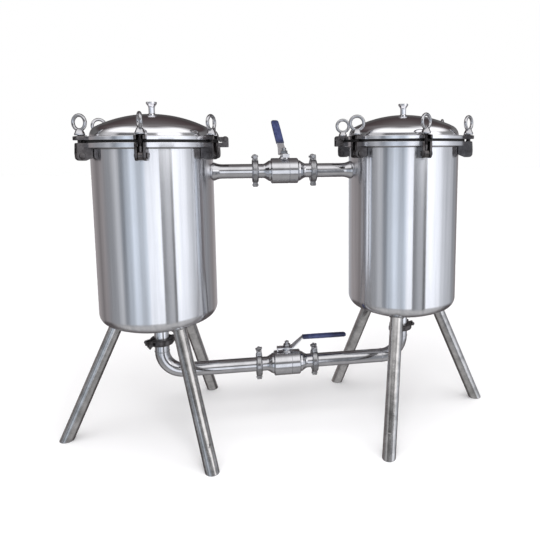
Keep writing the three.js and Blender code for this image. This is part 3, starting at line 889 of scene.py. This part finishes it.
def line_pipe_mesh(face):
    """A straight tube from the shell's wall to a ferrule, flared at the wall."""
    start = SHELL_R - 1.6
    flare = ((24.4, 0), (23.6, 5), (21.2, 11), (19.7, 17), (PIPE_R, 24))
    outline = [
        (PIPE_BORE_R, start),
        *((radius, start + x) for radius, x in flare),
        *rounded_open(ferrule(face, 1)),
        (PIPE_BORE_R, face),
    ]
    return make_mesh("line_pipe", along_x(turned(outline, 72)))


def bent_pipe_mesh(face, top):
    """The lower line's tube: down from the nozzle, round the bend, and out to the valve's ferrule."""
    bend = [(x, 0, z) for x, z in arc(BEND_R, BEND_R, BEND_R, 180, 270, 28)]
    path = [(0, 0, top - 9), (0, 0, BEND_R + 1), *bend, (BEND_R + 1, 0, 0), (face - 9, 0, 0)]
    tube = swept(path, circle(PIPE_R, 72), up=(0, 1, 0))
    down = [(0, top - 10), *rounded_open(ferrule(top, 1)), (0, top)]
    out = [(0, face - 10), *rounded_open(ferrule(face, 1)), (0, face)]
    weld = bead(PIPE_R - 0.5, BEND_R + 1, 1.5, wire_sides=8)
    return make_mesh("bent_pipe", tube, turned(down, 72), along_x(turned(out, 72)), weld, along_x(weld))


def clamp_band_mesh():
    """A tri-clamp's two cast halves about Z, hinged at -X and closed at +X."""
    groove = [(20.6, 6.6, 0.4), (25.8, 3.6, 0.4), (25.8, -3.6, 0.4), (20.6, -6.6, 0.4)]
    back = [(20.6, -8.5, 0.6), (29, -8.5, 3), (32, -4.5, 3), (32, 4.5, 3), (29, 8.5, 3), (20.6, 8.5, 0.6)]
    section = rounded([*back, *groove], 0, 3)
    steps, sweep = 44, 156
    halves = []
    for start in (10, 194):
        angles = [radians(start + sweep * k / steps) for k in range(steps + 1)]
        halves.append(skinned([[(r * cos(a), r * sin(a), z) for r, z in section] for a in angles]))
    ears = []
    for side in (1, -1):
        ear = [(27, side * 4.2), (43, side * 4.2), (43, side * 10.5), (24, side * 15)]
        knuckle = [(-26, side * 2.2), (-41.5, side * 1.2), (-42, side * 7.5), (-26, side * 11.5)]
        ears.append(prism(rounded(ear, 3, 4), -7, 7, 1.2))
        ears.append(prism(rounded(knuckle, 2.5, 4), -6.5, 6.5, 1))
    return make_mesh("clamp_band", *halves, *ears)


def clamp_bolt_mesh():
    """The clamp's closing bolt with its wing nut, and the hinge's pin and link."""
    hub = [(0, 10.5), *arc(6.4, 11.5, 1, -90, 0, 3), *arc(4.6, 20.5, 1, 0, 90, 3), (0, 21.5)]
    turnings = [bar(3, -16, 22, 0.5), bar(5.2, -17, -10.5, 0.8), turned(hub, 32)]
    bolt = [placed(part, shift(37.5, 0, 0), turn(-90, "X")) for part in turnings]
    wing = rounded([(3, 11), (5, 10.8), (9.2, 13, 2), (9.4, 20, 3), (6.5, 21.5, 2), (3, 18)], 1.5, 4)
    wings = [
        placed(upright(wing, -2.6, 2.6, 1), shift(38, 0, 0), turn(-90, "X"), turn(way))
        for way in (80, 260)
    ]
    pin = placed(bar(2.6, -8.2, 8.2, 0.6), shift(-37, 0, 0))
    link = prism(rounded(rectangle(-40.5, -33.5, -5.4, 5.4), 3, 5), -3, 3)
    return make_mesh("clamp_bolt", *bolt, *wings, pin, link)


def joint_gasket_mesh():
    """The thin ring gasket between two ferrules."""
    half = 0.38
    return make_mesh("joint_gasket", turned(rounded(rectangle(17.6, 24.9, -half, half), 0.2), 64))


# ---------------- ball valve, with its pipe along X and its stem up


BARREL_R, BARREL_HALF, GLAND_R, GLAND_TOP = 34, 35, 11, 41
LEVER_Z, LEVER_THICK, LEVER_HEEL, RISE_START, RISE_END = 42, 3, -28, 14, 44
# Half a lever's width at its heel, round its stem and along its arm.
HEEL_HALF, EYE_R, ARM_HALF = 9.2, 13.2, 9.6
# Each handle's turn at rest, its knee's height at the end of the rise, its tilt beyond the knee, its reach
# beyond the knee, and where its grip starts.
HANDLES = {"upper": (96, 65.4, 38, 123, 12), "lower": (0, 69, 0, 129, 0)}


def valve_body_mesh():
    """A two-piece valve body: a barrel with end caps that taper to ferrules, and a gland for the stem."""
    face = VALVE_HALF_LENGTH - JOINT_GAP
    cone = [(PIPE_R, 56, 3), (20.5, 52, 3), (27, 42, 2), (28.5, BARREL_HALF + 2.2, 1)]
    shoulder = [(BARREL_R - 1.8, BARREL_HALF + 1.2, 0.8), (BARREL_R, BARREL_HALF - 1, 0.8)]
    half = [*ferrule(face, 1)[::-1], *cone, *shoulder]
    groove = BARREL_R - 0.9
    seam = [(BARREL_R, 11.2, 0.3), (groove, 11.8, 0.2), (groove, 12.6, 0.2), (BARREL_R, 13.2, 0.3)]
    other = [(radius, -x, corner) for radius, x, corner in half]
    outline = [(PIPE_BORE_R, -face, 0.2), *other, *seam, *half[::-1], (PIPE_BORE_R, face, 0.2)]
    barrel = make_mesh("barrel", along_x(turned(rounded(outline, 0, 4), 112)))
    gland = turned(
        [
            (0, 20),
            (14.5, 20),
            (14.5, 33.2),
            (13, 35.6),
            (GLAND_R, 36.4),
            *arc(GLAND_R - 0.8, GLAND_TOP - 0.8, 0.8, 0, 90, 3),
            (BOLT_R + 1.2, GLAND_TOP),
            (BOLT_R + 1.2, 36),
            (0, 36),
        ],
        64,
    )
    return combined("valve_body", barrel, make_mesh("gland", gland), sharp=35)


def valve_ball_mesh():
    radius = 25.5
    sphere = turned([(0, -radius), *arc(0, 0, radius, -85, 85, 34), (0, radius)], 64)
    return cut("valve_ball", make_mesh("sphere", sphere), along_x(bar(16.5, -40, 40, 0.2)))


def valve_stem_mesh():
    """The stem, with a washer, a nut and the bolt's end above it."""
    stem = turned([(0, 24), (5.9, 24), (5.9, 60.2), (4.7, 61.6), (0, 61.6)], 40)
    thread = turned([(0, 53.4), *thread_outline(5.95, 0.5, 53.6, 60.6, 1.5), (0, 60.8)], 40)
    washer = bar(10.5, LEVER_Z + LEVER_THICK + 0.1, LEVER_Z + LEVER_THICK + 1.9, 0.4)
    nut = hexagon(17, LEVER_Z + LEVER_THICK + 2, LEVER_Z + LEVER_THICK + 9)
    return make_mesh("valve_stem", stem, thread, washer, nut)


def lever_path(knee_z, tilt, reach):
    """A lever's middle line in (x, z): flat, a bend, a rise to the knee, and out to its end."""
    middle = LEVER_THICK / 2
    end = (RISE_END + reach * cos(radians(tilt)), knee_z + middle + reach * sin(radians(tilt)))
    flat = [(LEVER_HEEL, LEVER_Z + middle, 0), (RISE_START, LEVER_Z + middle, 9)]
    rise = [(RISE_END, knee_z + middle, 9), (*end, 0)]
    points = rounded([*flat, *rise, (end[0], -100, 0)], 0, 8)[:-1]
    dense = []
    for (x0, z0), (x1, z1) in zip(points, points[1:]):
        steps = max(1, int(hypot(x1 - x0, z1 - z0) / 3))
        dense += [(x0 + (x1 - x0) * k / steps, z0 + (z1 - z0) * k / steps) for k in range(steps)]
    return dense + [points[-1]]


def lever_width(x, left):
    """Half a lever's width at x, with a length left to its tip: round at the stem, narrower at either end."""
    if x < 0:
        return max(sqrt(max(EYE_R**2 - x**2, 0)), HEEL_HALF)
    if x < RISE_END:
        blend = max(x - RISE_START, 0) / (RISE_END - RISE_START)
        return EYE_R + (ARM_HALF - EYE_R) * blend * blend * (3 - 2 * blend)
    tip = max(0.0, 8 - left) / 8
    return ARM_HALF * sqrt(max(1 - tip * tip, 0.12))


def lever_mesh(knee_z, tilt, reach):
    """A bent flat lever, with a stop tab turned down at its heel."""
    path = lever_path(knee_z, tilt, reach - 6)
    tip_x, tip_z = path[-1]
    widths = [lever_width(x, hypot(tip_x - x, tip_z - z)) for x, z in path]
    section = rectangle(-1, 1, -LEVER_THICK / 2, LEVER_THICK / 2)
    arm = swept([(x, 0, z) for x, z in path], section, widths=widths)
    tab = rectangle(LEVER_HEEL, LEVER_HEEL + 3, -HEEL_HALF, HEEL_HALF)
    stop = prism(tab, BARREL_R + 1.2, LEVER_Z + 1, 0.5)
    return make_mesh("lever", arm, stop, sharp=40)


def power(value, exponent):
    """A power that keeps its value's sign: it squares up an oval."""
    return abs(value) ** exponent * (1 if value >= 0 else -1)


def grip_mesh(knee_z, tilt, reach, low):
    """The dipped sleeve: a flat oval bar with a rolled lip, soft ends and a fuller middle."""
    high = reach - 4.5
    steps, sides = 56, 40
    angles = [2 * pi * i / sides for i in range(sides)]
    rings = []
    for k in range(steps + 1):
        along = k / steps
        x = low + (high - low) * (along - 0.04 * sin(2 * pi * along))
        start = min((x - low) / 1.6, 1)
        lip = 0.35 * max(0, 1 - abs(x - low - 3) / 3)
        tail = sqrt(max(1 - max((x - high + 8) / 8, 0) ** 2, 0))
        swell = 0.5 * sin(pi * along)
        half_width = (11.0 + swell + lip) * (0.88 + 0.12 * start) * (0.45 + 0.55 * tail)
        half_height = (4.6 + 0.5 * swell + lip) * (0.75 + 0.25 * start) * (0.5 + 0.5 * tail)
        oval = [(half_width * power(cos(a), 0.45), half_height * power(sin(a), 0.7)) for a in angles]
        rings.append([(x, y, z) for y, z in oval])
    knee = shift(RISE_END, 0, knee_z + LEVER_THICK / 2)
    return make_mesh("grip", placed(skinned(rings), knee, turn(-tilt, "Y")), sharp=60)


# ---------------- assembly


def add_vessels():
    meshes = {
        "shell_skin": (shell_mesh(), "mirror", "shell"),
        "nozzle_weld": (nozzle_weld_mesh(), "weld", None),
        "flange_ring": (flange_ring_mesh(), "satin", "body_flange"),
        # The weld bead under the flange: a real weld whose darker finish also paints the flange's dark
        # reflection in the shell.
        "flange_weld_and_dark_reflection": (flange_weld_mesh(), "weld", None),
        "bolt_brackets": (brackets_mesh(), "cast", None),
        "pivot_pins": (pivot_pins_mesh(), "cast", None),
        "lid_dome": (lid_mesh(), "dome", "lid"),
        "lid_lugs": (lugs_mesh(), "cast", None),
        "gasket_ring": (gasket_mesh(), "silicone", "lid_gasket"),
        "seat_ring": (seat_mesh(), "satin", "outlet_seat"),
        "cartridge_pleats": (pleats_mesh(), "felt", "cartridge"),
        "cartridge_caps": (cartridge_caps_mesh(), "felt", None),
    }
    # Each part of the hinge and where it stands in the plane of the hinge.
    hinge = {
        "hinge_ears": (hinge_fixed_mesh(), shift()),
        "hinge_pin": (hinge_pin_mesh(), shift(HINGE_PIN_R, 0, HINGE_PIN_Z)),
        "hinge_leaf": (hinge_leaf_mesh(), shift()),
    }
    leg, leg_weld = leg_mesh(), leg_weld_mesh()
    bolt, nut = swing_bolt_mesh(), ring_nut_mesh()
    pivot, base = shift(BOLT_CIRCLE_R, 0, PIVOT_Z), shift(BOLT_CIRCLE_R, 0, NUT_BASE_Z)
    for side, x in AXIS_X.items():
        axis = shift(x, AXIS_Y, 0)
        for name, (mesh, finish, node) in meshes.items():
            stands_for = (f"{side}_{node}",) if node else ()
            piece(f"{side}_{name}", mesh, finish, "housing", axis, stands_for=stands_for)
        for name, (mesh, where) in hinge.items():
            piece(f"{side}_{name}", mesh, "cast", "housing", axis, turn(INNER_AZIMUTH[side]), where)
        for i, azimuth in enumerate(LEG_AZIMUTHS[side], 1):
            node = (f"{side}_leg_{i}",)
            piece(f"{side}_leg_tube_{i}", turned_copy(leg, azimuth), "leg", "housing", axis, stands_for=node)
            piece(f"{side}_leg_weld_{i}", turned_copy(leg_weld, azimuth), "weld", "housing", axis)
        for i, azimuth in enumerate(BOLT_AZIMUTHS, 1):
            node = (f"{side}_swing_bolt_{i}",)
            name, body = f"{side}_eye_bolt_{i}", f"{side}_bolt_{i}"
            piece(name, bolt, "cast", body, axis, turn(azimuth), pivot, stands_for=node)
            spin = turn(RING_TURNS[side][i - 1] - azimuth)
            node = (f"{side}_ring_nut_{i}",)
            name, body = f"{side}_eye_nut_{i}", f"{side}_nut_{i}"
            piece(name, nut, "ring", body, axis, turn(azimuth), base, spin, stands_for=node)


def add_clamp(name, node, finish, band, bolt, gasket, *moves):
    piece(f"{name}_band", band, finish, "housing", *moves, stands_for=(node,))
    piece(f"{name}_bolt", bolt, finish, "housing", *moves)
    piece(f"{name}_seal", gasket, "silicone", "housing", *moves)


def add_lines():
    gasket = joint_gasket_mesh()
    # The nozzle clamps get the dark cast finish, the line clamps the lighter clamp finish: the nozzle clamps'
    # darkness is painted shade, for the shade under the vessels.
    line_clamp, nozzle_clamp = (
        (finish, clamp_band_mesh(), clamp_bolt_mesh(), gasket) for finish in ("clamp", "cast")
    )
    for side, x in AXIS_X.items():
        half_turn = turn(180 if side == "right" else 0)
        face = abs(CLAMP_X[side] - x) - JOINT_GAP
        top = NOZZLE_FACE_Z - 2 * JOINT_GAP - LOWER_LINE_Z
        tubes = {"upper": line_pipe_mesh(face), "lower": bent_pipe_mesh(face, top)}
        for line, z in LINES.items():
            node = (f"{line}_pipe_{side}",)
            where = shift(x, AXIS_Y, z)
            piece(f"{line}_tube_{side}", tubes[line], "tube", "housing", where, half_turn, stands_for=node)
        for line, z in LINES.items():
            where = shift(CLAMP_X[side], AXIS_Y, z)
            add_clamp(f"{line}_joint_{side}", f"{line}_clamp_{side}", *line_clamp, where, turn(-90, "Y"))
        # Each nozzle clamp, under its vessel, in the darker cast finish as painted shade.
        where = shift(x, AXIS_Y, NOZZLE_FACE_Z - JOINT_GAP)
        spin = turn(210 if side == "left" else 30)
        add_clamp(f"{side}_nozzle_joint", f"{side}_nozzle_clamp", *nozzle_clamp, where, spin)


def add_valves():
    body, ball, stem = valve_body_mesh(), valve_ball_mesh(), valve_stem_mesh()
    for line, z in LINES.items():
        way, knee_z, tilt, reach, grip_start = HANDLES[line]
        lever, grip = lever_mesh(knee_z, tilt, reach), grip_mesh(knee_z, tilt, reach, grip_start)
        valve = shift(VALVE_X, AXIS_Y, z)
        handle = (valve, turn(way))
        rides = f"{line}_handle"
        piece(f"{line}_valve_casing", body, "tube", "housing", valve, stands_for=(f"{line}_valve_body",))
        piece(f"{line}_ball", ball, "dome", rides, *handle, stands_for=(f"{line}_valve_ball",))
        piece(f"{line}_stem", stem, "clamp", rides, *handle)
        piece(f"{line}_lever", lever, "lever", rides, *handle, stands_for=(f"{line}_valve_lever",))
        piece(f"{line}_grip", grip, "vinyl", rides, *handle, stands_for=(f"{line}_valve_grip",))


# ---------------- camera, floor and light


def add_camera():
    """A camera just below lid height, in front and a little to the left, looking right and down."""
    data = bpy.data.cameras.new("camera")
    data.lens = 33.54
    data.shift_x = -0.0893
    data.shift_y = -0.1145
    data.clip_end = 100
    camera = show("camera", data)
    middle = shift((AXIS_X["left"] + AXIS_X["right"]) / 2, AXIS_Y, 0)
    yaw, pitch, roll = 9.107, 6.704, -0.372
    stand(camera, middle, shift(-122.4, -1355.4, 762.3), turn(-yaw), turn(90 - pitch, "X"), turn(roll))
    bpy.context.scene.camera = camera


def plane(name, size):
    bpy.ops.mesh.primitive_plane_add(size=size)
    bpy.context.object.name = name
    return bpy.context.object


def add_floor():
    floor = plane("floor", 30)
    floor.visible_glossy = False
    finish = Finish("floor")
    finish.set(Base_Color=(0.93, 0.93, 0.935, 1), Roughness=0.9, Specular_IOR_Level=0)
    floor.data.materials.append(finish.material)


COOL, PLAIN, NEUTRAL = (0.90, 0.99, 1.12), (0.96, 0.99, 1.06), (1.00, 0.99, 1.00)
WARM, BROWN = (1.05, 0.97, 0.98), (1.20, 0.95, 0.97)
WORLD_STRENGTH = 2.6

# The studio as polished steel reflects it, as (degrees, brightness, tint). Upright bands, by degrees round
# from the front, negative to the left.
BANDS = [
    (-180, 0.49, PLAIN), (-150, 0.33, WARM), (-132, 0.30, WARM), (-118, 0.20, WARM),
    (-105, 0.32, WARM), (-87, 0.28, PLAIN), (-74, 0.34, PLAIN), (-66, 0.56, PLAIN),
    (-61, 0.52, PLAIN), (-56, 0.26, COOL), (-51, 0.28, COOL), (-47, 0.56, COOL), (-40, 0.62, COOL),
    (-35, 0.90, COOL), (-29, 0.88, COOL), (-23, 0.62, COOL), (-17, 0.61, COOL), (-11, 0.90, COOL),
    (-6, 1.26, PLAIN), (40, 1.26, PLAIN), (52, 1.20, PLAIN), (66, 1.04, PLAIN), (75, 0.72, PLAIN),
    (92, 0.58, PLAIN), (106, 0.48, PLAIN), (114, 0.32, PLAIN), (140, 0.24, WARM), (162, 0.40, WARM),
    (180, 0.49, PLAIN),
]
# Brightness by degrees of height: in front a bright ceiling over a dark floor edge, behind a dim hall.
FRONT = [
    (-90, 0.40, NEUTRAL), (-60, 0.50, NEUTRAL), (-44, 0.50, NEUTRAL), (-34, 0.40, NEUTRAL),
    (-26, 0.34, NEUTRAL), (14, 0.36, NEUTRAL), (24, 0.80, NEUTRAL), (34, 1.25, NEUTRAL),
    (58, 1.30, NEUTRAL), (72, 0.70, NEUTRAL), (84, 0.22, WARM), (90, 0.20, WARM),
]
BACK = [
    (-90, 0.40, NEUTRAL), (-55, 0.14, WARM), (-20, 0.05, BROWN), (22, 0.04, BROWN),
    (38, 0.075, BROWN), (56, 0.17, WARM), (90, 0.20, WARM),
]
# Windows low on the front wall, by degrees round: they make the streaks on the legs.
WALL = [
    (-180, 0.08, WARM), (-105, 0.16, NEUTRAL), (-84, 0.62, NEUTRAL), (-64, 0.60, NEUTRAL),
    (-54, 0.14, NEUTRAL), (-20, 0.16, NEUTRAL), (14, 0.32, NEUTRAL), (22, 1.70, NEUTRAL),
    (56, 1.70, NEUTRAL), (68, 0.28, NEUTRAL), (100, 0.22, NEUTRAL), (180, 0.08, WARM),
]
# Where the upright bands show, and where the wall does, by degrees of height.
BANDS_WINDOW = [(-27, 0, PLAIN), (-22, 1, PLAIN), (3, 1, PLAIN), (8, 0, PLAIN)]
WALL_WINDOW = [(3, 0, PLAIN), (8, 1, PLAIN), (20, 1, PLAIN), (28, 0, PLAIN)]


def by_angle(stops, limit, strength=1):
    """Ramp stops of (place, colour) from (degrees, brightness, tint), for angles from -limit to limit."""
    return [
        ((degrees + limit) / (2 * limit), [brightness * share / strength for share in tint])
        for degrees, brightness, tint in stops
    ]


def add_world():
    """White to the eye. In reflections, a workshop of upright light and dark bands under a bright ceiling."""
    world = bpy.data.worlds.new("studio")
    bpy.context.scene.world = world
    sky = Tree(world)
    sky.tree.nodes.clear()

    def maths(operation, *values):
        node = sky.node("Math")
        node.operation = operation
        for socket, value in zip(node.inputs, values):
            sky.put(socket, value)
        return node.outputs["Value"]

    x, y, z = sky.split(sky.node("TexCoord").outputs["Generated"])
    around = sky.ranged(maths("ARCTAN2", x, maths("MULTIPLY", y, -1)), -pi, pi)
    height = sky.ranged(maths("ARCSINE", z), -pi / 2, pi / 2)
    front, back = (sky.ramp(height, by_angle(stops, 90, WORLD_STRENGTH)) for stops in (FRONT, BACK))
    bands, wall = (sky.ramp(around, by_angle(stops, 180, WORLD_STRENGTH)) for stops in (BANDS, WALL))
    halls = sky.mixed(sky.ranged(y, -0.1, 0.25), front, back)
    for window, light in ((WALL_WINDOW, wall), (BANDS_WINDOW, bands)):
        halls = sky.mixed(sky.ramp(height, by_angle(window, 90)), halls, light)
    reflected = sky.node("Background", Strength=WORLD_STRENGTH, Color=halls)
    seen = sky.node("Background", Color=(1, 1, 1, 1))
    choose = sky.node("MixShader", Fac=sky.node("LightPath").outputs["Is Camera Ray"])
    for socket, shader in zip(choose.inputs[1:], (reflected, seen)):
        sky.put(socket, shader.outputs["Background"])
    sky.node("OutputWorld", Surface=choose.outputs["Shader"])


# The card's brightness by its place from left to right.
CARD = [(0, 0.24), (0.18, 0.26), (0.38, 0.42), (0.70, 0.42), (0.82, 0.10), (1, 0.08)]


def add_card():
    """A tall grey card in front and to the right, seen in reflections only, where it makes a dark band."""
    card = plane("reflected_card", 1)
    card.scale = (1.49, 2.4, 1)
    card.rotation_euler = (pi / 2, 0, 0)
    card.location = (1.265, -2.7, -0.41)
    for ray in ("camera", "diffuse", "shadow", "transmission", "volume_scatter"):
        setattr(card, f"visible_{ray}", False)
    material = bpy.data.materials.new("reflected_card")
    glow = Tree(material)
    glow.tree.nodes.clear()
    across = glow.split(glow.node("TexCoord").outputs["Generated"])[0]
    stops = [(place, [brightness * share for share in PLAIN]) for place, brightness in CARD]
    light = glow.node("Emission", Color=glow.ramp(across, stops))
    glow.node("OutputMaterial", Surface=light.outputs["Emission"])
    card.data.materials.append(material)


def add_lights():
    """Soft lights that the steel doesn't mirror: two from above for the floor, one in front for the grips."""

    def light(kind, energy):
        data = bpy.data.lights.new("studio_light", kind)
        data.energy = energy
        shown = show("studio_light", data)
        shown.visible_glossy = False
        return shown, data

    for energy, spread in ((0.9, 170), (0.85, 62)):
        sun, data = light("SUN", energy)
        data.angle = radians(spread)
        sun.location = (0, 0, 4)
    front, data = light("AREA", 5)
    data.size = 0.4
    front.location = (0, -0.9, 1.05)
    front.rotation_euler = (Vector((0, 0, 0.78)) - front.location).to_track_quat("-Z", "Y").to_euler()


def set_view():
    bpy.context.scene.view_settings.view_transform = "Standard"
    bpy.context.scene.view_settings.look = "None"


add_camera()
add_floor()
add_world()
add_card()
add_lights()
set_view()
add_vessels()
add_lines()
add_valves()
